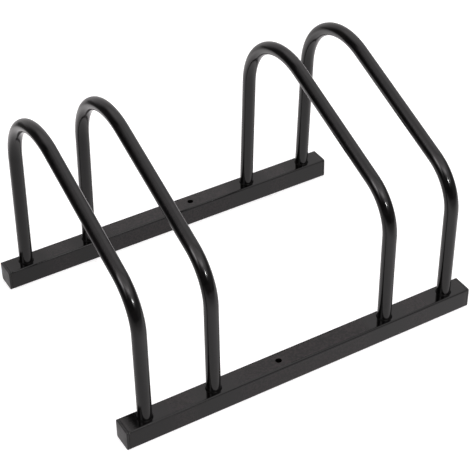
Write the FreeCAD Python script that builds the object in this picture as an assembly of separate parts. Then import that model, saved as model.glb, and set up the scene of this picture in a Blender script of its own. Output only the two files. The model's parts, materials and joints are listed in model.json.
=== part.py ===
import FreeCAD, Part

import math
import os

# Floor stand for two bicycles: two square-tube rails carry four bent round-tube hoops, set in two pairs.
# A wheel stands on the floor between the rails and is held between the two hoops of one pair.
# Millimetres, +Z up. The rails run along X, and the tall side of the hoops is at the rear, +Y.
# The origin is on the floor, under the middle of the stand.

# Rails: square steel tube, lying on the floor
RAIL_TUBE_LENGTH = 434.0
RAIL_SIDE = 25.0
RAIL_WALL = 1.2
RAIL_INNER_CORNER = 0.8
RAIL_SPACING = 300.0

# Anchor hole: one through each rail, left of the middle in front and right of the middle at the rear
ANCHOR_HOLE_DIAMETER = 7.0
ANCHOR_HOLE_OFFSET = 29.0

# Hoops: round steel tube, with an upright front leg and a rear leg that leans forward
TUBE_DIAMETER = 15.9
TUBE_WALL = 1.2
HOOP_END_INSET = 25.0
HOOP_PITCH = 82.0
FRONT_CORNER_RISE = 152.0
FRONT_BEND_RADIUS = 57.0
REAR_CORNER_RISE = 264.0
REAR_BEND_RADIUS = 80.0
REAR_LEG_LEAN_DEGREES = 3.25

# Welds: a fillet round each hoop foot, on top of the rail
WELD_SPREAD = 1.4
WELD_RISE = 4.5
WELD_TOE = 0.4

# End plugs: a flange that covers the rail end, and a hollow insert held in the tube by fins
PLUG_FLANGE_THICKNESS = 3.0
PLUG_EDGE_ROUND = 0.8
PLUG_INSERT_LENGTH = 17.0
PLUG_INSERT_WALL = 1.6
PLUG_CORNER_RELIEF = 1.2
PLUG_FIN_COUNT = 3
PLUG_FIN_THICKNESS = 1.4
PLUG_FIN_HEIGHT = 0.9

# Worked out from the sizes above
RAIL_BORE = RAIL_SIDE - 2 * RAIL_WALL
RAIL_OUTER_CORNER = RAIL_INNER_CORNER + RAIL_WALL
RAIL_END = RAIL_TUBE_LENGTH / 2
RAIL_Y = RAIL_SPACING / 2
TUBE_RADIUS = TUBE_DIAMETER / 2
OUTER_HOOP_X = RAIL_END - HOOP_END_INSET
INNER_HOOP_X = OUTER_HOOP_X - HOOP_PITCH
REAR_LEG_RUN = REAR_CORNER_RISE * math.tan(math.radians(REAR_LEG_LEAN_DEGREES))

# On which side of the stand's middle each rail and each rail end lies
RAIL_SIGNS = {"front": -1, "rear": 1}
END_SIGNS = {"left": -1, "right": 1}

ORIGIN = FreeCAD.Vector(0, 0, 0)
Z_AXIS = FreeCAD.Vector(0, 0, 1)


def square_bar(side, corner, start, end):
    """Solid square bar along the X axis from start to end, with its four long edges rounded."""
    bar = Part.makeBox(end - start, side, side, FreeCAD.Vector(start, -side / 2, -side / 2))
    long_edges = [edge for edge in bar.Edges if edge.BoundBox.XLength > edge.BoundBox.DiagonalLength / 2]
    return bar.makeFillet(corner, long_edges)


def rail(rail_sign):
    """Square tube with one anchor hole down through its top and bottom walls."""
    tube = square_bar(RAIL_SIDE, RAIL_OUTER_CORNER, -RAIL_END, RAIL_END)
    tube = tube.cut(square_bar(RAIL_BORE, RAIL_INNER_CORNER, -RAIL_END, RAIL_END))
    hole_start = FreeCAD.Vector(rail_sign * ANCHOR_HOLE_OFFSET, 0, -RAIL_SIDE)
    tube = tube.cut(Part.makeCylinder(ANCHOR_HOLE_DIAMETER / 2, 2 * RAIL_SIDE, hole_start, Z_AXIS))
    tube.translate(FreeCAD.Vector(0, rail_sign * RAIL_Y, RAIL_SIDE / 2))
    return tube


def end_plug(rail_sign, end_sign):
    """Moulded plug: a round-edged flange on the rail end, and a hollow insert whose fins fill the bore."""
    flange = square_bar(RAIL_SIDE, RAIL_OUTER_CORNER, 0, PLUG_FLANGE_THICKNESS)
    rim = [edge for edge in flange.Edges if edge.BoundBox.XMin > PLUG_FLANGE_THICKNESS / 2]
    flange = flange.makeFillet(PLUG_EDGE_ROUND, rim)
    corner = RAIL_INNER_CORNER + PLUG_CORNER_RELIEF
    core_side = RAIL_BORE - 2 * PLUG_FIN_HEIGHT
    insert = square_bar(core_side, corner, -PLUG_INSERT_LENGTH, 0)
    for fin in range(PLUG_FIN_COUNT):
        fin_start = PLUG_INSERT_LENGTH * (fin / PLUG_FIN_COUNT - 1)
        insert = insert.fuse(square_bar(RAIL_BORE, corner, fin_start, fin_start + PLUG_FIN_THICKNESS))
    insert = insert.cut(square_bar(core_side - 2 * PLUG_INSERT_WALL, corner, -PLUG_INSERT_LENGTH, 0))
    plug = flange.fuse(insert).removeSplitter()
    if end_sign < 0:
        plug.rotate(ORIGIN, Z_AXIS, 180)
    plug.translate(FreeCAD.Vector(end_sign * RAIL_END, rail_sign * RAIL_Y, RAIL_SIDE / 2))
    return plug


def direction(start, end):
    """Unit vector from start towards end."""
    return (end - start).normalize()


def bent_bar(route, bend_radii, bar_radius):
    """Solid round bar: a cylinder along each straight run, and part of a torus at each corner."""
    pieces = []
    run_start = route[0]
    for before, corner, after, bend_radius in zip(route, route[1:], route[2:], bend_radii):
        incoming = direction(before, corner)
        outgoing = direction(corner, after)
        turn = incoming.getAngle(outgoing)
        setback = bend_radius * math.tan(turn / 2)
        run_end = corner - incoming * setback
        bend_axis = incoming.cross(outgoing).normalize()
        bend_centre = run_end + bend_axis.cross(incoming) * bend_radius
        pieces.append(Part.makeCylinder(bar_radius, (run_end - run_start).Length, run_start, incoming))
        disc = Part.Face(Part.Wire(Part.makeCircle(bar_radius, run_end, incoming)))
        pieces.append(disc.revolve(bend_centre, bend_axis, math.degrees(turn)))
        run_start = corner + outgoing * setback
    pieces.append(Part.makeCylinder(bar_radius, (route[-1] - run_start).Length, run_start, outgoing))
    return pieces[0].fuse(pieces[1:]).removeSplitter()


def hoop_bar(hoop_x, bar_radius):
    """Solid bar along a hoop's centre line, running on past both feet into the rails."""
    front_foot = FreeCAD.Vector(hoop_x, -RAIL_Y, RAIL_SIDE)
    front_corner = FreeCAD.Vector(hoop_x, -RAIL_Y, RAIL_SIDE + FRONT_CORNER_RISE)
    rear_corner = FreeCAD.Vector(hoop_x, RAIL_Y - REAR_LEG_RUN, RAIL_SIDE + REAR_CORNER_RISE)
    rear_foot = FreeCAD.Vector(hoop_x, RAIL_Y, RAIL_SIDE)
    front_end = front_foot + direction(front_corner, front_foot) * RAIL_SIDE
    rear_end = rear_foot + direction(rear_corner, rear_foot) * RAIL_SIDE
    route = [front_end, front_corner, rear_corner, rear_end]
    return bent_bar(route, [FRONT_BEND_RADIUS, REAR_BEND_RADIUS], bar_radius)


def hoop(hoop_x):
    """Bent tube with both feet cut level, standing on top of the rails."""
    tube = hoop_bar(hoop_x, TUBE_RADIUS).cut(hoop_bar(hoop_x, TUBE_RADIUS - TUBE_WALL))
    low = FreeCAD.Vector(hoop_x - TUBE_DIAMETER, -RAIL_SPACING, -RAIL_SIDE)
    below_rail_tops = Part.makeBox(2 * TUBE_DIAMETER, 2 * RAIL_SPACING, 2 * RAIL_SIDE, low)
    return tube.cut(below_rail_tops)


def weld(hoop_x, rail_sign):
    """Fillet weld: a short cone on top of the rail, with the hoop's tube cut out of it."""
    foot = FreeCAD.Vector(hoop_x, rail_sign * RAIL_Y, RAIL_SIDE)
    cone = Part.makeCone(TUBE_RADIUS + WELD_SPREAD, TUBE_RADIUS + WELD_TOE, WELD_RISE, foot, Z_AXIS)
    return cone.cut(hoop_bar(hoop_x, TUBE_RADIUS))


pieces = {}
for rail_name, rail_sign in RAIL_SIGNS.items():
    pieces[f"{rail_name}_rail"] = rail(rail_sign)
    for end_name, end_sign in END_SIGNS.items():
        pieces[f"{rail_name}_rail_{end_name}_plug"] = end_plug(rail_sign, end_sign)

for end_name, end_sign in END_SIGNS.items():
    for place, distance in {"outer": OUTER_HOOP_X, "inner": INNER_HOOP_X}.items():
        hoop_name = f"{end_name}_{place}_hoop"
        pieces[hoop_name] = hoop(end_sign * distance)
        for rail_name, rail_sign in RAIL_SIGNS.items():
            pieces[f"{hoop_name}_{rail_name}_weld"] = weld(end_sign * distance, rail_sign)

os.makedirs("parts", exist_ok=True)
for name, shape in pieces.items():
    shape.exportStep(f"parts/{name}.step")
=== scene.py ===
import json
import math

import bmesh
import bpy
import numpy as np
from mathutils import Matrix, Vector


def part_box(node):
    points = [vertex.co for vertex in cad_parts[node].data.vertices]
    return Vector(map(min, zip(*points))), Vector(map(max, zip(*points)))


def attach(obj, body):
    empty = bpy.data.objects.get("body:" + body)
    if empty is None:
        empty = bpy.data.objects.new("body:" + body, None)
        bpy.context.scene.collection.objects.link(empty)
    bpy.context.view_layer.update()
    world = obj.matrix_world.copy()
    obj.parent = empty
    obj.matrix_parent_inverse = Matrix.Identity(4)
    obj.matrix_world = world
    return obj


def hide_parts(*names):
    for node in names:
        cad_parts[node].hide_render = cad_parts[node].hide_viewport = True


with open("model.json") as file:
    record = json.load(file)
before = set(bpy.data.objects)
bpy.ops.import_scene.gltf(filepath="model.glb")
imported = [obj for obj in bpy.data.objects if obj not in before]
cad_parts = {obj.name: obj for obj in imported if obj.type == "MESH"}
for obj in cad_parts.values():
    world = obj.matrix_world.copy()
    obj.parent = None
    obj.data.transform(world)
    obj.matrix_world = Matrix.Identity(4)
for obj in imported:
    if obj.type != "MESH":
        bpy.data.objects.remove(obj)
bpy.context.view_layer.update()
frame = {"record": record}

# Rails
# Two lengths of square steel tube lie on the floor and carry the four hoops. A hole for an anchor screw is
# drilled down through both walls of each. Their black coating is satin, but smooth round the hoop feet and
# on the rounded corners. There its dust colour is left out too: painted shade round the hoop feet, and darker
# corners.

RAIL_WALL = 0.0012
RAIL_CORNER = 0.002
RAIL_CORNER_STEPS = 6
RAIL_FLAT_STEPS = 16
RAIL_RUN_STEPS = 48
RAIL_END_ROUND = 0.0004
RAIL_END_STEPS = 4
HOLE_LIP = 0.0004
HOLE_LIP_STEPS = 4
HOLE_WALL_STEPS = 3
HOLE_COLLAR_STEPS = 6

COATING_BLACK = (0.0006, 0.0005, 0.0005, 1.0)
COATING_GLOSS_SCALE = 45
COATING_GLOSS_DETAIL = 5
COATING_RIPPLE_SCALE = 480
COATING_GRAIN_SCALE = 2600
COATING_GRAIN_DEPTH = 0.000002
COATING_FINE_DETAIL = 2
DUST_SOFTNESS = 0.09
NOISE_MEAN = 0.5

RAIL_COAT_IOR = 1.48
RAIL_ROUGHNESS = (0.33, 0.41)
RAIL_RIPPLE_DEPTH = 0.00006
RAIL_DUST = (0.0160, 0.0110, 0.0118, 1.0)
RAIL_DUST_SCALE = 420
SMOOTH_ROUGHNESS = 0.06
SMOOTH_RIPPLE = 0.15
FOOT_SMOOTH_REACH = 0.029
FOOT_SMOOTH_POWER = 4
CORNER_SMOOTH_REACH = 0.0008
CORNER_SMOOTH_POWER = 2


def rounded_square(half, corner, flat_steps, corner_steps):
    """Outline of a square with round corners, as (across, up) points that run clockwise from the top left.

    The top side is a straight run, with its points crowded towards both ends by a sine, and then a quarter
    circle. The other three sides are the top side turned by one, two and three quarter turns."""
    flat = half - corner
    run = flat * np.sin(np.linspace(-np.pi / 2, np.pi / 2, flat_steps, endpoint=False))
    turn = np.linspace(0, np.pi / 2, corner_steps, endpoint=False)
    straight = np.stack([run, np.full(flat_steps, half)], axis=-1)
    arc = flat + corner * np.stack([np.sin(turn), np.cos(turn)], axis=-1)
    side = np.concatenate([straight, arc])
    quarter_turn = np.array([[0, -1], [1, 0]])
    return np.concatenate([side @ np.linalg.matrix_power(quarter_turn, k) for k in range(4)])


def band(lower, upper):
    """Quads between two closed rows of point numbers: each joins two neighbours below to the two above."""
    return np.stack([lower, np.roll(lower, -1), np.roll(upper, -1), upper], axis=-1)


def bands(rows):
    """Quads of a whole stack of closed rows, one band for each pair of neighbouring rows."""
    return np.concatenate([band(lower, upper) for lower, upper in zip(rows[:-1], rows[1:])])


def drilled_tube(start, end, half, hole_x, hole_radius):
    """Square tube along X with one hole down through it, as points and quads about its own centre line.

    Outside and inside are the rounded square carried along X. At both ends the outside shrinks by a quarter
    round, where the cut was deburred. Over the hole, the flat top and bottom are left out in a square
    window, and a sleeve joins the window outside to the window inside. Along the sleeve each point keeps its
    bearing from the hole's centre, while its distance shrinks to the hole, turns down over a quarter-round
    lip, follows the wall and widens again inside."""
    flat = half - RAIL_CORNER
    crowded = hole_x + flat * np.sin(np.linspace(-np.pi / 2, np.pi / 2, RAIL_FLAT_STEPS + 1))
    turn = np.linspace(0, np.pi / 2, RAIL_END_STEPS, endpoint=False)
    end_run = RAIL_END_ROUND * (1 - np.cos(turn))
    before = np.linspace(start + RAIL_END_ROUND, crowded[0], RAIL_RUN_STEPS, endpoint=False)
    after = np.linspace(end - RAIL_END_ROUND, crowded[-1], RAIL_RUN_STEPS, endpoint=False)[::-1]
    stations = np.concatenate([start + end_run, before, crowded, after, end - end_run[::-1]])
    first = RAIL_END_STEPS + RAIL_RUN_STEPS
    last = first + RAIL_FLAT_STEPS
    shrink = np.zeros((len(stations), 1, 1))
    shrink[:RAIL_END_STEPS, 0, 0] = RAIL_END_ROUND * (1 - np.sin(turn)) / half
    shrink = shrink + shrink[::-1]

    outlines = [rounded_square(half - inset, RAIL_CORNER - inset, RAIL_FLAT_STEPS, RAIL_CORNER_STEPS)
                for inset in (0, RAIL_WALL)]
    around = len(outlines[0])
    skins = []
    for outline, shrinking in zip(outlines, (1, 0)):
        skin = np.empty((len(stations), around, 3))
        skin[:, :, 0] = stations[:, None]
        skin[:, :, 1:] = outline * (1 - shrinking * shrink)
        skins.append(skin)
    points = np.concatenate([skin.reshape(-1, 3) for skin in skins])
    numbers = np.arange(len(points)).reshape(2, len(stations), around)

    window_columns = [0, around // 2]
    whole = np.ones((len(stations) - 1, around), dtype=bool)
    for column in window_columns:
        whole[first:last, column:column + RAIL_FLAT_STEPS] = False
    quads = [np.concatenate([bands(skin_numbers)[whole.reshape(-1)] for skin_numbers in numbers])]
    quads.append(band(numbers[0, 0], numbers[1, 0]))
    quads.append(band(numbers[0, -1], numbers[1, -1]))

    collar = np.linspace(0, 1, HOLE_COLLAR_STEPS + 1)[:, None]
    lip = np.linspace(0, np.pi / 2, HOLE_LIP_STEPS + 1)[1:, None]
    wall = np.linspace(HOLE_LIP, RAIL_WALL, HOLE_WALL_STEPS + 1)[1:, None]
    for column, upright in zip(window_columns, (1, -1)):
        far = column + RAIL_FLAT_STEPS
        rims = [np.concatenate([skin_numbers[first, column:far], skin_numbers[first:last, far],
                                skin_numbers[last, far:column:-1], skin_numbers[last:first:-1, column]])
                for skin_numbers in numbers]
        away = points[rims[0], :2] - (hole_x, 0)
        reach = np.hypot(away[:, 0], away[:, 1])
        bearing = away / reach[:, None]
        lip_edge = hole_radius + HOLE_LIP
        level = np.ones_like(reach)
        distance = np.concatenate([reach + (lip_edge - reach) * collar[1:],
                                   (lip_edge - HOLE_LIP * np.sin(lip)) * level,
                                   hole_radius * np.ones_like(wall) * level,
                                   hole_radius + (reach - hole_radius) * collar[1:-1]])
        depth = np.concatenate([0 * collar[1:], HOLE_LIP * (1 - np.cos(lip)), wall,
                                RAIL_WALL + 0 * collar[1:-1]])
        sleeve = np.empty(distance.shape + (3,))
        sleeve[:, :, :2] = (hole_x, 0) + distance[:, :, None] * bearing
        sleeve[:, :, 2] = upright * (half - depth)
        rows = len(points) + np.arange(distance.size).reshape(distance.shape)
        points = np.concatenate([points, sleeve.reshape(-1, 3)])
        quads.append(bands(np.concatenate([rims[:1], rows, rims[1:]])))
    return points, quads


def smooth_coat_and_foot_shade(points, half):
    """Where the coat flowed out smooth: 1 round a hoop foot, falling off along the rail as a flat-topped bell
    curve, and 1 on the rail's round corners, falling off across the flats as a bell curve. The same share
    takes the dust colour away, which paints shade round the hoop feet and darkens the corners."""
    foot = np.abs(points[:, :1] - np.array(list(hoop_x.values()))).min(axis=1)
    inside = np.maximum(half - RAIL_CORNER - np.abs(points[:, 1:]).min(axis=1), 0)
    foot_smooth_and_shade = np.exp(-(foot / FOOT_SMOOTH_REACH) ** FOOT_SMOOTH_POWER)
    on_corner = np.exp(-(inside / CORNER_SMOOTH_REACH) ** CORNER_SMOOTH_POWER)
    return np.maximum(foot_smooth_and_shade, on_corner)


def finished_piece(name, points, faces, sharp_degrees=40):
    """Object with this mesh: faces turned outwards, smooth except where two faces meet at a sharp angle."""
    mesh = bpy.data.meshes.new(name)
    mesh.from_pydata(points.tolist(), [], [face for block in faces for face in block.tolist()])
    work = bmesh.new()
    work.from_mesh(mesh)
    bmesh.ops.recalc_face_normals(work, faces=work.faces)
    work.to_mesh(mesh)
    work.free()
    mesh.shade_smooth()
    mesh.set_sharp_from_angle(angle=math.radians(sharp_degrees))
    piece = bpy.data.objects.new(name, mesh)
    bpy.context.collection.objects.link(piece)
    return piece


def add_node(tree, kind, **settings):
    """Shader node of this kind, with each setting put on its attribute, or on the input of that name."""
    node = tree.nodes.new(kind)
    for name, value in settings.items():
        if hasattr(node, name):
            setattr(node, name, value)
        else:
            node.inputs[name.replace("_", " ")].default_value = value
    return node


def mottle(tree, place, scale, detail, low, high, softness=0.2):
    """Noise over the surface, stretched to run from low to high within the softness of its mean."""
    noise = add_node(tree, "ShaderNodeTexNoise", Scale=scale, Detail=detail)
    tree.links.new(place, noise.inputs["Vector"])
    stretch = add_node(tree, "ShaderNodeMapRange", From_Min=NOISE_MEAN - softness,
                       From_Max=NOISE_MEAN + softness, To_Min=low, To_Max=high)
    tree.links.new(noise.outputs["Fac"], stretch.inputs["Value"])
    return stretch.outputs["Result"]


def fade(tree, share, first, last):
    """Number that goes from the first, a socket, to the last, a constant, as the share goes from 0 to 1."""
    mix = add_node(tree, "ShaderNodeMix", data_type="FLOAT")
    tree.links.new(share, mix.inputs[0])
    tree.links.new(first, mix.inputs[2])
    mix.inputs[3].default_value = last
    return mix.outputs[0]


def two_tone(tree, amount, first, second):
    """Colour that goes from the first to the second as the amount goes from 0 to 1."""
    ramp = add_node(tree, "ShaderNodeValToRGB")
    ramp.color_ramp.elements[0].color = first
    ramp.color_ramp.elements[1].color = second
    tree.links.new(amount, ramp.inputs["Fac"])
    return ramp.outputs["Color"]


def relief(tree, place, scale, detail, depth, below=None):
    """Noise pushed into the surface as a bump of this depth in metres, on top of the bump below it."""
    noise = add_node(tree, "ShaderNodeTexNoise", Scale=scale, Detail=detail)
    tree.links.new(place, noise.inputs["Vector"])
    bump = add_node(tree, "ShaderNodeBump", Strength=1.0, Distance=depth)
    tree.links.new(noise.outputs["Fac"], bump.inputs["Height"])
    if below is not None:
        tree.links.new(below, bump.inputs["Normal"])
    return bump.outputs["Normal"]


def new_surface(name):
    """Material with its default node tree: its shader, and its place on the object as Object coordinates."""
    material = bpy.data.materials.new(name)
    material.use_nodes = True
    tree = material.node_tree
    shader = tree.nodes["Principled BSDF"]
    place = add_node(tree, "ShaderNodeTexCoord").outputs["Object"]
    return material, tree, shader, place


def coating(name, ior, roughness, dust_colour, dust_scale, ripple_depth, smoothest=None):
    """Baked black coating: almost no colour of its own, a gloss whose roughness drifts from place to place,
    the soft ripple of a sprayed coat, finer grain on top of it, and specks of dust. With a smoothest
    roughness, the mesh's own attribute "smooth" says where the coat flowed out to it, and there the dust
    colour is faded out: painted shade round the hoop feet, and darker round corners."""
    material, tree, shader, place = new_surface(name)
    shader.inputs["IOR"].default_value = ior
    gloss = mottle(tree, place, COATING_GLOSS_SCALE, COATING_GLOSS_DETAIL, *roughness)
    dust = mottle(tree, place, dust_scale, COATING_FINE_DETAIL, 0.0, 1.0, softness=DUST_SOFTNESS)
    if smoothest is not None:
        smooth = add_node(tree, "ShaderNodeAttribute", attribute_name="smooth").outputs["Fac"]
        gloss = fade(tree, smooth, gloss, smoothest)
        # Fading out the dust colour darkens the coat: round the hoop feet this is painted shade.
        dust = fade(tree, smooth, dust, 0.0)
    tree.links.new(gloss, shader.inputs["Roughness"])
    tree.links.new(two_tone(tree, dust, COATING_BLACK, dust_colour), shader.inputs["Base Color"])
    ripple = relief(tree, place, COATING_RIPPLE_SCALE, COATING_FINE_DETAIL, ripple_depth)
    if smoothest is not None:
        calm = add_node(tree, "ShaderNodeMapRange", To_Min=1.0, To_Max=SMOOTH_RIPPLE)
        tree.links.new(smooth, calm.inputs["Value"])
        tree.links.new(calm.outputs["Result"], ripple.node.inputs["Strength"])
    grain = relief(tree, place, COATING_GRAIN_SCALE, COATING_FINE_DETAIL, COATING_GRAIN_DEPTH, ripple)
    tree.links.new(grain, shader.inputs["Normal"])
    return material


rail_coating = coating("satin_black_coating", RAIL_COAT_IOR, RAIL_ROUGHNESS, RAIL_DUST, RAIL_DUST_SCALE,
                       RAIL_RIPPLE_DEPTH, smoothest=SMOOTH_ROUGHNESS)
mounts = {mount["name"]: mount for mount in frame["record"]["mounts"]}
hoop_names = [f"{end_name}_{place}_hoop" for end_name in ("left", "right") for place in ("outer", "inner")]
hoop_x = {}
for hoop_name in hoop_names:
    low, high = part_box(hoop_name)
    hoop_x[hoop_name] = (low[0] + high[0]) / 2

for rail_name in ("front", "rear"):
    low, high = (np.array(corner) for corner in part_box(f"{rail_name}_rail"))
    middle = (low + high) / 2
    hole = mounts[f"{rail_name}_anchor_hole"]
    half = (high[2] - low[2]) / 2
    tube, tube_faces = drilled_tube(low[0], high[0], half, hole["pos_m"][0], hole["dims"]["r_mm"] / 1000)
    rail = finished_piece(f"{rail_name}_rail_coated", tube + (0, middle[1], middle[2]), tube_faces)
    # The smooth attribute also takes the dust colour away: painted shade round the hoop feet.
    rail.data.attributes.new("smooth", "FLOAT", "POINT").data.foreach_set("value", smooth_coat_and_foot_shade(tube, half))
    rail.data.materials.append(rail_coating)
    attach(rail, "root")
    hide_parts(f"{rail_name}_rail")

# End plugs
# A plug moulded in black plastic is pushed into each rail end. Its flange covers the cut edge of the tube,
# and the fins on its hollow insert hold it in the bore by friction.

PLUG_RIM_ROUND = 0.0006
PLUG_RIM_STEPS = 6
PLUG_BACK_ROUND = 0.0004
PLUG_CROWN = 0.0003
PLUG_CROWN_POWER = 3
PLUG_FACE_STEPS = 16
PLUG_INSERT = 0.017
PLUG_INSERT_WALL = 0.0016
PLUG_FINS = 3
PLUG_FIN_LENGTH = 0.0014
PLUG_FIN_HEIGHT = 0.0009
PLUG_CORNER = 0.002

PLASTIC_DARK = (0.004, 0.004, 0.004, 1.0)
PLASTIC_PALE = (0.010, 0.010, 0.010, 1.0)
PLASTIC_IOR = 1.5
PLASTIC_ROUGHNESS = (0.30, 0.42)
PLASTIC_GLOSS_SCALE = 90
PLASTIC_GLOSS_DETAIL = 4
PLASTIC_RUB_SCALE = 220
PLASTIC_RUB_DETAIL = 6
PLASTIC_SWIRL_SCALE = 300
PLASTIC_SWIRL_DETAIL = 1
PLASTIC_SWIRL_DEPTH = 0.00002
PLASTIC_GRAIN_SCALE = 3200
PLASTIC_GRAIN_DETAIL = 2
PLASTIC_GRAIN_DEPTH = 0.000006


def plug_outline(half, flange):
    """Outline of the plug, as rows of (outward, half side, corner radius) from the middle of its face to the
    middle of its hollow: a nearly flat face, lower towards its rim by a power of the distance, a
    quarter-round rim, the flange's side, a quarter-round back edge, the insert with its fins, the insert's
    end, and the hollow up to the flange."""
    face_half = half - PLUG_RIM_ROUND
    grow = np.linspace(0, 1, PLUG_FACE_STEPS + 1)[1:]
    face = np.stack([flange - PLUG_CROWN * grow ** PLUG_CROWN_POWER, face_half * grow,
                     (PLUG_CORNER - PLUG_RIM_ROUND) * grow], axis=-1)
    turn = np.linspace(0, np.pi / 2, PLUG_RIM_STEPS + 1)[1:]
    rim = np.stack([flange - PLUG_CROWN - PLUG_RIM_ROUND * (1 - np.cos(turn)),
                    face_half + PLUG_RIM_ROUND * np.sin(turn),
                    PLUG_CORNER - PLUG_RIM_ROUND * (1 - np.sin(turn))], axis=-1)
    bore = half - RAIL_WALL
    core = bore - PLUG_FIN_HEIGHT
    hollow = core - PLUG_INSERT_WALL
    fins = []
    for fin in reversed(range(PLUG_FINS)):
        fin_start = PLUG_INSERT * (fin / PLUG_FINS - 1)
        fins += [(fin_start + PLUG_FIN_LENGTH, core), (fin_start + PLUG_FIN_LENGTH, bore),
                 (fin_start, bore), (fin_start, core)]
    turn = np.linspace(0, np.pi / 2, PLUG_RIM_STEPS + 1)
    back = np.stack([PLUG_BACK_ROUND * (1 - np.sin(turn)), half - PLUG_BACK_ROUND * (1 - np.cos(turn)),
                     PLUG_CORNER - PLUG_BACK_ROUND * (1 - np.cos(turn))], axis=-1)
    inside = [(0, core)] + fins + [(-PLUG_INSERT, hollow), (0, hollow)]
    inside = np.array([(outward, side, PLUG_CORNER) for outward, side in inside])
    return np.concatenate([face, rim, back, inside])


def end_plug(half, flange):
    """Plug pointing along +X from the rail end at x = 0: the rounded square of each row of its outline,
    stacked along X, with a fan of triangles closing the face and another closing the hollow."""
    outline = plug_outline(half, flange)
    rings = [np.insert(rounded_square(side, corner, RAIL_FLAT_STEPS, RAIL_CORNER_STEPS), 0, outward, axis=1)
             for outward, side, corner in outline]
    around = len(rings[0])
    rows = np.arange(len(rings) * around).reshape(len(rings), around)
    poles = np.array([[flange, 0, 0], [0, 0, 0]])
    points = np.concatenate(rings + [poles])
    fans = [np.stack([row, np.roll(row, -1), np.full(around, pole)], axis=-1)
            for row, pole in ((rows[0], rows.size), (rows[-1], rows.size + 1))]
    return points, [bands(rows)] + fans


def moulded_plastic(name):
    """Satin black plastic: a fine moulded grain over a slow swirl, a roughness that drifts from place to
    place, and a greyer black where it is rubbed."""
    material, tree, shader, place = new_surface(name)
    shader.inputs["IOR"].default_value = PLASTIC_IOR
    gloss = mottle(tree, place, PLASTIC_GLOSS_SCALE, PLASTIC_GLOSS_DETAIL, *PLASTIC_ROUGHNESS)
    tree.links.new(gloss, shader.inputs["Roughness"])
    rubbed = mottle(tree, place, PLASTIC_RUB_SCALE, PLASTIC_RUB_DETAIL, 0.0, 1.0)
    tree.links.new(two_tone(tree, rubbed, PLASTIC_DARK, PLASTIC_PALE), shader.inputs["Base Color"])
    swirl = relief(tree, place, PLASTIC_SWIRL_SCALE, PLASTIC_SWIRL_DETAIL, PLASTIC_SWIRL_DEPTH)
    grain = relief(tree, place, PLASTIC_GRAIN_SCALE, PLASTIC_GRAIN_DETAIL, PLASTIC_GRAIN_DEPTH, swirl)
    tree.links.new(grain, shader.inputs["Normal"])
    return material


plug_plastic = moulded_plastic("satin_black_plastic")

for rail_name in ("front", "rear"):
    low, high = (np.array(corner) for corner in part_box(f"{rail_name}_rail"))
    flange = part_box(f"{rail_name}_rail_right_plug")[1][0] - high[0]
    plug_points, plug_faces = end_plug((high[2] - low[2]) / 2, flange)
    middle = (low + high) / 2
    for end_name, end_x, outward in (("left", low[0], -1), ("right", high[0], 1)):
        placed = plug_points * (outward, outward, 1) + (end_x, middle[1], middle[2])
        plug = finished_piece(f"{rail_name}_{end_name}_plug_moulded", placed, plug_faces)
        plug.data.materials.append(plug_plastic)
        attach(plug, "root")
        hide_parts(f"{rail_name}_rail_{end_name}_plug")

# Hoops
# Four equal hoops are bent from round steel tube, low in front and tall at the rear, and coated glossy black.
# Each stands welded on both rails, its feet cut level, and the tube is a little flattened in its bends.

HOOP_FRONT_RISE = 0.152
HOOP_FRONT_BEND = 0.057
HOOP_REAR_RISE = 0.264
HOOP_REAR_BEND = 0.080
HOOP_REAR_LEAN = math.radians(3.25)
HOOP_WALL = 0.0012
HOOP_BEND_FLATTENING = 0.03
HOOP_AROUND = 48
HOOP_RUN_STEPS = 16
HOOP_BEND_STEP = math.radians(2)

HOOP_COAT_IOR = 1.5
HOOP_ROUGHNESS = (0.12, 0.16)
HOOP_RIPPLE_DEPTH = 0.00003
HOOP_DUST = (0.0032, 0.0027, 0.0028, 1.0)
HOOP_DUST_SCALE = 160

rail_low, rail_high = (np.array(corner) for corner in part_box("front_rail"))
rail_top = rail_high[2]
front_y = (rail_low[1] + rail_high[1]) / 2
rear_low, rear_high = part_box("rear_rail")
rear_y = (rear_low[1] + rear_high[1]) / 2


def bent_route(corners, bend_radii):
    """Centre line of a bent tube, as rows of (y, z), of travel direction and of depth within a bend, from 0
    at its ends to 1 at its middle.

    Each corner is cut back on both runs by its bend radius times the tangent of half its turn. Between the
    cuts the direction swings evenly through the turn, about a centre that lies one radius to the side."""
    places, directions, depths = [], [], []
    run_start = corners[0]
    for before, corner, after, radius in zip(corners, corners[1:], corners[2:], bend_radii):
        incoming = (corner - before) / np.linalg.norm(corner - before)
        outgoing = (after - corner) / np.linalg.norm(after - corner)
        turn = math.atan2(incoming[0] * outgoing[1] - incoming[1] * outgoing[0], incoming @ outgoing)
        setback = radius * math.tan(abs(turn) / 2)
        run_end = corner - incoming * setback
        along = np.linspace(0, 1, HOOP_RUN_STEPS, endpoint=False)
        places.append(run_start + along[:, None] * (run_end - run_start))
        directions.append(np.tile(incoming, (HOOP_RUN_STEPS, 1)))
        depths.append(np.zeros(HOOP_RUN_STEPS))
        swing = np.linspace(0, turn, round(abs(turn) / HOOP_BEND_STEP), endpoint=False)
        heading = math.atan2(incoming[1], incoming[0]) + swing
        sideways = math.copysign(radius, turn)
        centre = run_end + sideways * np.array([-incoming[1], incoming[0]])
        places.append(centre - sideways * np.stack([-np.sin(heading), np.cos(heading)], axis=-1))
        directions.append(np.stack([np.cos(heading), np.sin(heading)], axis=-1))
        depths.append(np.sin(np.pi * swing / turn))
        run_start = corner + outgoing * setback
    along = np.linspace(0, 1, HOOP_RUN_STEPS)
    places.append(run_start + along[:, None] * (corners[-1] - run_start))
    directions.append(np.tile(outgoing, (HOOP_RUN_STEPS, 1)))
    depths.append(np.zeros(HOOP_RUN_STEPS))
    return np.concatenate(places), np.concatenate(directions), np.concatenate(depths)


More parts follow.
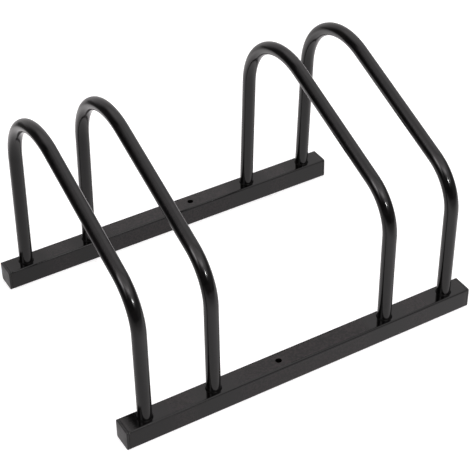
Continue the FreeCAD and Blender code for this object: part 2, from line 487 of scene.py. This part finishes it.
def tube_skin(route, radius):
    """Round section carried along the route: a point is the centre, plus radius times the cosine of its angle
    along the in-plane normal, plus radius times the sine along X. In a bend the in-plane radius shrinks and
    the other grows. The first and last rows slide along the tube until they lie level on the rail tops."""
    places, directions, depths = route
    angle = np.linspace(0, 2 * np.pi, HOOP_AROUND, endpoint=False)
    flattened = radius * (1 - HOOP_BEND_FLATTENING * depths)[:, None] * np.cos(angle)
    widened = radius * (1 + HOOP_BEND_FLATTENING / 2 * depths)[:, None] * np.sin(angle)
    skin = np.empty((len(places), HOOP_AROUND, 3))
    skin[:, :, 0] = widened
    skin[:, :, 1] = places[:, :1] - directions[:, 1:] * flattened
    skin[:, :, 2] = places[:, 1:] + directions[:, :1] * flattened
    for end in (0, -1):
        slide = (rail_top - skin[end, :, 2]) / directions[end, 1]
        skin[end, :, 1:] += slide[:, None] * directions[end]
    return skin


def hoop_tube(radius):
    """Bent tube at x = 0: its outer and its inner skin, joined by a flat ring at each foot."""
    rear_run = HOOP_REAR_RISE * math.tan(HOOP_REAR_LEAN)
    corners = [np.array(corner) for corner in (
        (front_y, rail_top), (front_y, rail_top + HOOP_FRONT_RISE),
        (rear_y - rear_run, rail_top + HOOP_REAR_RISE), (rear_y, rail_top))]
    route = bent_route(corners, (HOOP_FRONT_BEND, HOOP_REAR_BEND))
    points = np.concatenate([tube_skin(route, radius), tube_skin(route, radius - HOOP_WALL)])
    rows = np.arange(points.shape[0] * HOOP_AROUND).reshape(2, -1, HOOP_AROUND)
    faces = [bands(rows[0]), bands(rows[1]), band(rows[0, 0], rows[1, 0]), band(rows[0, -1], rows[1, -1])]
    return points.reshape(-1, 3), faces


tube_coating = coating("gloss_black_coating", HOOP_COAT_IOR, HOOP_ROUGHNESS, HOOP_DUST, HOOP_DUST_SCALE,
                       HOOP_RIPPLE_DEPTH)
low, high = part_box(hoop_names[0])
tube_radius = (high[0] - low[0]) / 2
hoop_points, hoop_faces = hoop_tube(tube_radius)
for hoop_name in hoop_names:
    hoop = finished_piece(f"{hoop_name}_bent", hoop_points + (hoop_x[hoop_name], 0, 0), hoop_faces)
    hoop.data.materials.append(tube_coating)
    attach(hoop, "root")
    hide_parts(hoop_name)

# Welds
# A small weld bead of steel runs round each hoop foot, laid by hand in one pass, and its coat is duller than
# the tube's. Its width wanders, its ripples follow the torch round, and a low lump shows where the pass
# closes on itself.

WELD_RISE = 0.0014
WELD_SPREAD = 0.0011
WELD_TOE = 0.00015
WELD_SINK = 0.00006
WELD_UNDERSIDE = 0.5
WELD_AROUND = 192
WELD_PROFILE_STEPS = 20
WELD_RIPPLES = 34
WELD_RIPPLE_DEPTH = 0.00003
WELD_RIPPLE_CURVE = 2.2
WELD_WANDER = 0.07
WELD_WAVE_COUNTS = (2, 3, 5)
WELD_PHASES = (0, 6.28)
WELD_LUMP = 0.00018
WELD_LUMP_WIDTH = 0.25
WELD_SHARP_DEGREES = 70

WELD_COAT_IOR = 1.2
WELD_ROUGHNESS = (0.28, 0.40)
WELD_DUST_SCALE = 300
WELD_COAT_RIPPLE_DEPTH = 0.00002


def weld_bead(lean, seed):
    """Ring of weld round a foot at the origin, as a closed surface: an angle round the foot and a share of
    the bead's height. The bead's width falls evenly with the height from its spread to its toe. Three slow
    waves with random phases make it wander, a bell curve adds the lump where it closes, and a sine adds the
    ripples, which bow towards the start of the pass at mid-height. The way back runs down just inside the
    tube and out just under the rail top."""
    random = np.random.default_rng(seed)
    angle = np.linspace(0, 2 * np.pi, WELD_AROUND, endpoint=False)[:, None]
    share = np.linspace(0, 1, WELD_PROFILE_STEPS + 1)[None, :]
    phases = random.uniform(*WELD_PHASES, len(WELD_WAVE_COUNTS))
    waves = sum(np.sin(count * angle + phase) for count, phase in zip(WELD_WAVE_COUNTS, phases))
    wander = 1 + WELD_WANDER * waves
    closing = np.angle(np.exp(1j * (angle - random.uniform(*WELD_PHASES))))
    lump = WELD_LUMP * np.exp(-(closing / WELD_LUMP_WIDTH) ** 2)
    belly = np.sin(np.pi * share)
    ripple = np.sin(WELD_RIPPLES * angle + WELD_RIPPLE_CURVE * belly)
    width = WELD_TOE + (WELD_SPREAD - WELD_TOE) * wander * (1 - share)
    width = width + (lump + WELD_RIPPLE_DEPTH * ripple) * belly
    height = WELD_RISE * wander * share
    back_width = np.array([[-WELD_SINK, -WELD_SINK, WELD_UNDERSIDE * WELD_SPREAD]]) + 0 * angle
    back_height = np.array([[1.0, 0, 0]]) * WELD_RISE * wander - np.array([[0, WELD_SINK, WELD_SINK]])
    distance = tube_radius + np.concatenate([width, back_width], axis=1)
    height = np.concatenate([height, back_height], axis=1)
    height[:, 0] -= WELD_SINK
    back_lean = height * math.tan(lean)
    points = np.stack([distance * np.cos(angle), distance * np.sin(angle) - back_lean, height], axis=-1)
    rows = np.arange(height.size).reshape(height.shape)
    return points.reshape(-1, 3), [bands(np.concatenate([rows, rows[:1]]))]


weld_coating = coating("dull_black_over_weld", WELD_COAT_IOR, WELD_ROUGHNESS, HOOP_DUST, WELD_DUST_SCALE,
                       WELD_COAT_RIPPLE_DEPTH)
weld_feet = [(hoop_name, foot) for hoop_name in hoop_names for foot in ("front", "rear")]

for seed, (hoop_name, foot) in enumerate(weld_feet):
    lean, foot_y = (0, front_y) if foot == "front" else (HOOP_REAR_LEAN, rear_y)
    bead, bead_faces = weld_bead(lean, seed)
    placed = bead + (hoop_x[hoop_name], foot_y, rail_top)
    weld = finished_piece(f"{hoop_name}_{foot}_bead", placed, bead_faces, WELD_SHARP_DEGREES)
    weld.data.materials.append(weld_coating)
    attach(weld, "root")
    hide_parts(f"{hoop_name}_{foot}_weld")

# Floor
# A plain matt white studio floor under the stand. It is partly lit from below, so that it shows only a faint
# shadow, and only the camera sees it: the coats mirror the lit paper instead.

FLOOR_HALF = 6.0
FLOOR_WHITE = (0.80, 0.80, 0.80, 1.0)
FLOOR_ROUGHNESS = 0.9
FLOOR_GLOW = 0.5
GLOW_WHITE = (1.0, 1.0, 1.0, 1.0)

floor_mesh = bpy.data.meshes.new("studio_floor")
floor_corners = FLOOR_HALF * np.array([(-1, -1, 0), (1, -1, 0), (1, 1, 0), (-1, 1, 0)])
floor_mesh.from_pydata(floor_corners.tolist(), [], [(0, 1, 2, 3)])
floor = bpy.data.objects.new("studio_floor", floor_mesh)
bpy.context.collection.objects.link(floor)
floor_material = bpy.data.materials.new("matt_white_floor")
floor_material.use_nodes = True
floor_shader = floor_material.node_tree.nodes["Principled BSDF"]
floor_shader.inputs["Base Color"].default_value = FLOOR_WHITE
floor_shader.inputs["Roughness"].default_value = FLOOR_ROUGHNESS
floor_shader.inputs["Specular IOR Level"].default_value = 0.0
floor_shader.inputs["Emission Color"].default_value = GLOW_WHITE
floor_shader.inputs["Emission Strength"].default_value = FLOOR_GLOW
floor_mesh.materials.append(floor_material)
floor.visible_glossy = False
floor.visible_diffuse = False

# Light
# The upper studio, which the coats mirror: a pale backdrop and ceiling, a dark room on the camera's side, a
# large soft box in a light tent over the front, a soft box on the left with a black flag behind it, and a
# dimmer reflector on the right. The camera itself sees plain white behind the stand.

ROOM_DARK = 0.08
STUDIO_TINT = (1.0, 0.968, 0.978, 1.0)
BACKDROP_WHITE = 1.0
HALF_TURN = 180

world = bpy.data.worlds.new("studio")
bpy.context.scene.world = world
world.use_nodes = True
sky = world.node_tree
sky.nodes.clear()
heading = add_node(sky, "ShaderNodeTexCoord").outputs["Generated"]
level_heading = add_node(sky, "ShaderNodeVectorMath", operation="MULTIPLY")
level_heading.inputs[1].default_value = (1, 1, 0)
sky.links.new(heading, level_heading.inputs[0])
compass = add_node(sky, "ShaderNodeVectorMath", operation="NORMALIZE")
sky.links.new(level_heading.outputs["Vector"], compass.inputs[0])
heading_parts = add_node(sky, "ShaderNodeSeparateXYZ")
sky.links.new(heading, heading_parts.inputs[0])
elevation = add_node(sky, "ShaderNodeMath", operation="ARCSINE")
sky.links.new(heading_parts.outputs["Z"], elevation.inputs[0])


def soft_step(tree, value, start, end):
    """Smooth rise from 0 at start to 1 at end."""
    step = add_node(tree, "ShaderNodeMapRange", interpolation_type="SMOOTHSTEP", From_Min=start,
                    From_Max=end)
    tree.links.new(value, step.inputs["Value"])
    return step.outputs["Result"]


def both(tree, first, second):
    """Product of two shares."""
    product = add_node(tree, "ShaderNodeMath", operation="MULTIPLY")
    tree.links.new(first, product.inputs[0])
    tree.links.new(second, product.inputs[1])
    return product.outputs["Value"]


def between(tree, value, start, end, soft):
    """Share that rises smoothly round start and falls smoothly round end, each within soft of it."""
    return both(tree, soft_step(tree, value, start - soft, start + soft),
                soft_step(tree, value, end + soft, end - soft))


def lay_over(tree, light, brightness, share):
    """The light so far, replaced by the brightness where the share is 1."""
    laid = add_node(tree, "ShaderNodeMix", data_type="FLOAT")
    tree.links.new(share, laid.inputs[0])
    tree.links.new(light, laid.inputs[2])
    laid.inputs[3].default_value = brightness
    return laid.outputs[0]


def hang_panel(light, brightness, bearing, half_width, low, high, side_soft, edge_soft):
    """Soft-edged panel hung over the light so far, in degrees: bearing 0 is in front, 90 on the right. Its
    share is a smooth step in the cosine of the angle from its bearing, times one step at its lower edge and
    one at its upper edge."""
    turn = math.radians(bearing)
    facing = add_node(sky, "ShaderNodeVectorMath", operation="DOT_PRODUCT")
    facing.inputs[1].default_value = (math.sin(turn), -math.cos(turn), 0)
    sky.links.new(compass.outputs["Vector"], facing.inputs[0])
    outer_edge = math.radians(min(half_width + side_soft, HALF_TURN))
    inner_edge = math.radians(max(half_width - side_soft, 0))
    across = soft_step(sky, facing.outputs["Value"], math.cos(outer_edge), math.cos(inner_edge))
    up = between(sky, elevation.outputs["Value"], math.radians(low), math.radians(high),
                 math.radians(edge_soft))
    return lay_over(sky, light, brightness, both(sky, across, up))


studio_panels = {
    "right side of the room": dict(brightness=0.25, bearing=60, half_width=35, low=-5, high=60,
                                   side_soft=30, edge_soft=10),
    "ceiling": dict(brightness=0.93, bearing=0, half_width=180, low=55, high=120,
                    side_soft=1, edge_soft=30),
    "backdrop": dict(brightness=0.72, bearing=150, half_width=50, low=-30, high=80,
                     side_soft=15, edge_soft=10),
    "top of the backdrop": dict(brightness=1.22, bearing=152, half_width=57, low=44, high=75,
                                side_soft=22, edge_soft=10),
    "reflector on the right": dict(brightness=1.15, bearing=65, half_width=75, low=33, high=52,
                                   side_soft=20, edge_soft=15),
    "black flag": dict(brightness=0.05, bearing=-120, half_width=5, low=-5, high=60,
                       side_soft=5, edge_soft=15),
    "light tent over the front": dict(brightness=1.35, bearing=-15, half_width=85, low=44, high=80,
                                      side_soft=6, edge_soft=12),
    "key box": dict(brightness=2.4, bearing=-12, half_width=38, low=48, high=60,
                    side_soft=20, edge_soft=8),
    "tube in the key box": dict(brightness=3.3, bearing=-6, half_width=20, low=47, high=56,
                                side_soft=6, edge_soft=3),
    "strip beside the lamp": dict(brightness=5.0, bearing=19, half_width=4, low=29, high=35,
                                  side_soft=2, edge_soft=2),
    "left box": dict(brightness=2.4, bearing=-82, half_width=5, low=28, high=58,
                     side_soft=20, edge_soft=12),
    "tube in the left box": dict(brightness=5.2, bearing=-81, half_width=12, low=34, high=46,
                                 side_soft=6, edge_soft=3),
}

room = add_node(sky, "ShaderNodeValue")
room.outputs[0].default_value = ROOM_DARK
light = room.outputs[0]
for panel in studio_panels.values():
    light = hang_panel(light, **panel)

studio_light = add_node(sky, "ShaderNodeBackground", Color=STUDIO_TINT)
sky.links.new(light, studio_light.inputs["Strength"])
backdrop = add_node(sky, "ShaderNodeBackground", Color=GLOW_WHITE, Strength=BACKDROP_WHITE)
seen = add_node(sky, "ShaderNodeLightPath")
choice = add_node(sky, "ShaderNodeMixShader")
sky.links.new(seen.outputs["Is Camera Ray"], choice.inputs[0])
sky.links.new(studio_light.outputs[0], choice.inputs[1])
sky.links.new(backdrop.outputs[0], choice.inputs[2])
sky.links.new(choice.outputs[0], add_node(sky, "ShaderNodeOutputWorld").inputs["Surface"])

# Lit paper
# What the coats mirror from below: a glowing sheet under and behind the stand, with painted light and
# shade standing in for white paper whose left edge is close to the stand, a pool of light on the floor in
# front and dimmer floor round it. It lies just under the floor, and only mirrored rays see it.

PAPER_DROP = 0.001
FLOOR_DARK = 0.10

paper_mesh = bpy.data.meshes.new("lit_paper")
paper_mesh.from_pydata((floor_corners - (0, 0, PAPER_DROP)).tolist(), [], [(0, 1, 2, 3)])
paper = bpy.data.objects.new("lit_paper", paper_mesh)
bpy.context.collection.objects.link(paper)
paper_material = bpy.data.materials.new("lit_paper")
paper_material.use_nodes = True
paper_tree = paper_material.node_tree
paper_tree.nodes.clear()
paper_place = add_node(paper_tree, "ShaderNodeSeparateXYZ")
paper_tree.links.new(add_node(paper_tree, "ShaderNodeTexCoord").outputs["Object"], paper_place.inputs[0])


def lay_patch(light, brightness, left, right, near, far, side_soft, end_soft):
    """Soft-edged patch of light laid over the paper so far, in metres: its share is a rise and a fall from
    left to right, times a rise and a fall from near to far."""
    across = between(paper_tree, paper_place.outputs["X"], left, right, side_soft)
    along = between(paper_tree, paper_place.outputs["Y"], near, far, end_soft)
    return lay_over(paper_tree, light, brightness, both(paper_tree, across, along))


# Each patch is painted light or painted shade on the glowing sheet, and the low glow elsewhere is painted
# shade.
paper_patches = {
    "dim floor in front": dict(brightness=0.40, left=-0.75, right=1.2, near=-3.5, far=0.25,
                               side_soft=0.45, end_soft=0.15),
    "pool of light": dict(brightness=0.87, left=-0.3, right=1.2, near=-0.66, far=0.35,
                          side_soft=0.7, end_soft=0.3),
    "bright band in front": dict(brightness=0.95, left=-0.25, right=1.0, near=-0.46, far=-0.24,
                                 side_soft=0.35, end_soft=0.07),
    "spot on the right": dict(brightness=1.15, left=0.33, right=0.6, near=-0.45, far=0.25,
                              side_soft=0.12, end_soft=0.15),
    "paper behind": dict(brightness=0.65, left=-0.35, right=3, near=0.35, far=8,
                         side_soft=0.1, end_soft=0.12),
    "far end of the paper": dict(brightness=0.7, left=-0.7, right=3, near=2.0, far=8,
                                 side_soft=0.5, end_soft=0.6),
    "bright paper behind the rail": dict(brightness=1.2, left=-0.4, right=1, near=0.24, far=0.55,
                                         side_soft=0.1, end_soft=0.13),
}

dim_floor = add_node(paper_tree, "ShaderNodeValue")
dim_floor.outputs[0].default_value = FLOOR_DARK
paper_light = dim_floor.outputs[0]
for patch in paper_patches.values():
    paper_light = lay_patch(paper_light, **patch)

paper_glow = add_node(paper_tree, "ShaderNodeEmission", Color=STUDIO_TINT)
paper_tree.links.new(paper_light, paper_glow.inputs["Strength"])
paper_surface = add_node(paper_tree, "ShaderNodeOutputMaterial").inputs["Surface"]
paper_tree.links.new(paper_glow.outputs[0], paper_surface)
paper_mesh.materials.append(paper_material)
paper.visible_camera = False
paper.visible_diffuse = False
paper.visible_shadow = False

# Lamp
# One small bare lamp, a bright disc that stands in front of the stand and looks down at it. It makes the
# sparkle on the front bends.

LAMP_BEARING = math.radians(-2)
LAMP_ELEVATION = math.radians(35)
LAMP_DISTANCE = 3.0
LAMP_RADIUS = 0.10
LAMP_WATTS = 14.0

lamp_data = bpy.data.lights.new("bare_lamp", "AREA")
lamp_data.shape = "DISK"
lamp_data.size = 2 * LAMP_RADIUS
lamp_data.energy = LAMP_WATTS
lamp = bpy.data.objects.new("bare_lamp", lamp_data)
bpy.context.collection.objects.link(lamp)
lamp.rotation_euler = (math.pi / 2 - LAMP_ELEVATION, 0, LAMP_BEARING)
lamp.location = LAMP_DISTANCE * np.array([math.cos(LAMP_ELEVATION) * math.sin(LAMP_BEARING),
                                          -math.cos(LAMP_ELEVATION) * math.cos(LAMP_BEARING),
                                          math.sin(LAMP_ELEVATION)])

# Camera
# It stands in front of the stand and to its left, about 1 m above the floor, and looks down at it through a
# long lens, turned a hair off level.

CAMERA_BEARING = math.radians(-29.982)
CAMERA_ELEVATION = math.radians(38.212)
CAMERA_ROLL = math.radians(-0.887)
CAMERA_DISTANCE = 1.62356
CAMERA_TARGET = np.array([0.00054, -0.00897, 0.09048])
CAMERA_LENS = 110.37
CAMERA_SENSOR = 36.0

camera_data = bpy.data.cameras.new("camera")
camera_data.lens = CAMERA_LENS
camera_data.sensor_width = CAMERA_SENSOR
camera = bpy.data.objects.new("camera", camera_data)
bpy.context.collection.objects.link(camera)
backwards = np.array([math.cos(CAMERA_ELEVATION) * math.sin(CAMERA_BEARING),
                      -math.cos(CAMERA_ELEVATION) * math.cos(CAMERA_BEARING),
                      math.sin(CAMERA_ELEVATION)])
level_right = np.array([math.cos(CAMERA_BEARING), math.sin(CAMERA_BEARING), 0])
level_up = np.cross(backwards, level_right)
camera_right = math.cos(CAMERA_ROLL) * level_right + math.sin(CAMERA_ROLL) * level_up
camera_up = np.cross(backwards, camera_right)
pose = np.eye(4)
pose[:3, :3] = np.stack([camera_right, camera_up, backwards], axis=-1)
pose[:3, 3] = CAMERA_TARGET + CAMERA_DISTANCE * backwards
camera.matrix_world = pose.T.tolist()
bpy.context.scene.camera = camera
bpy.context.scene.view_settings.view_transform = "Standard"
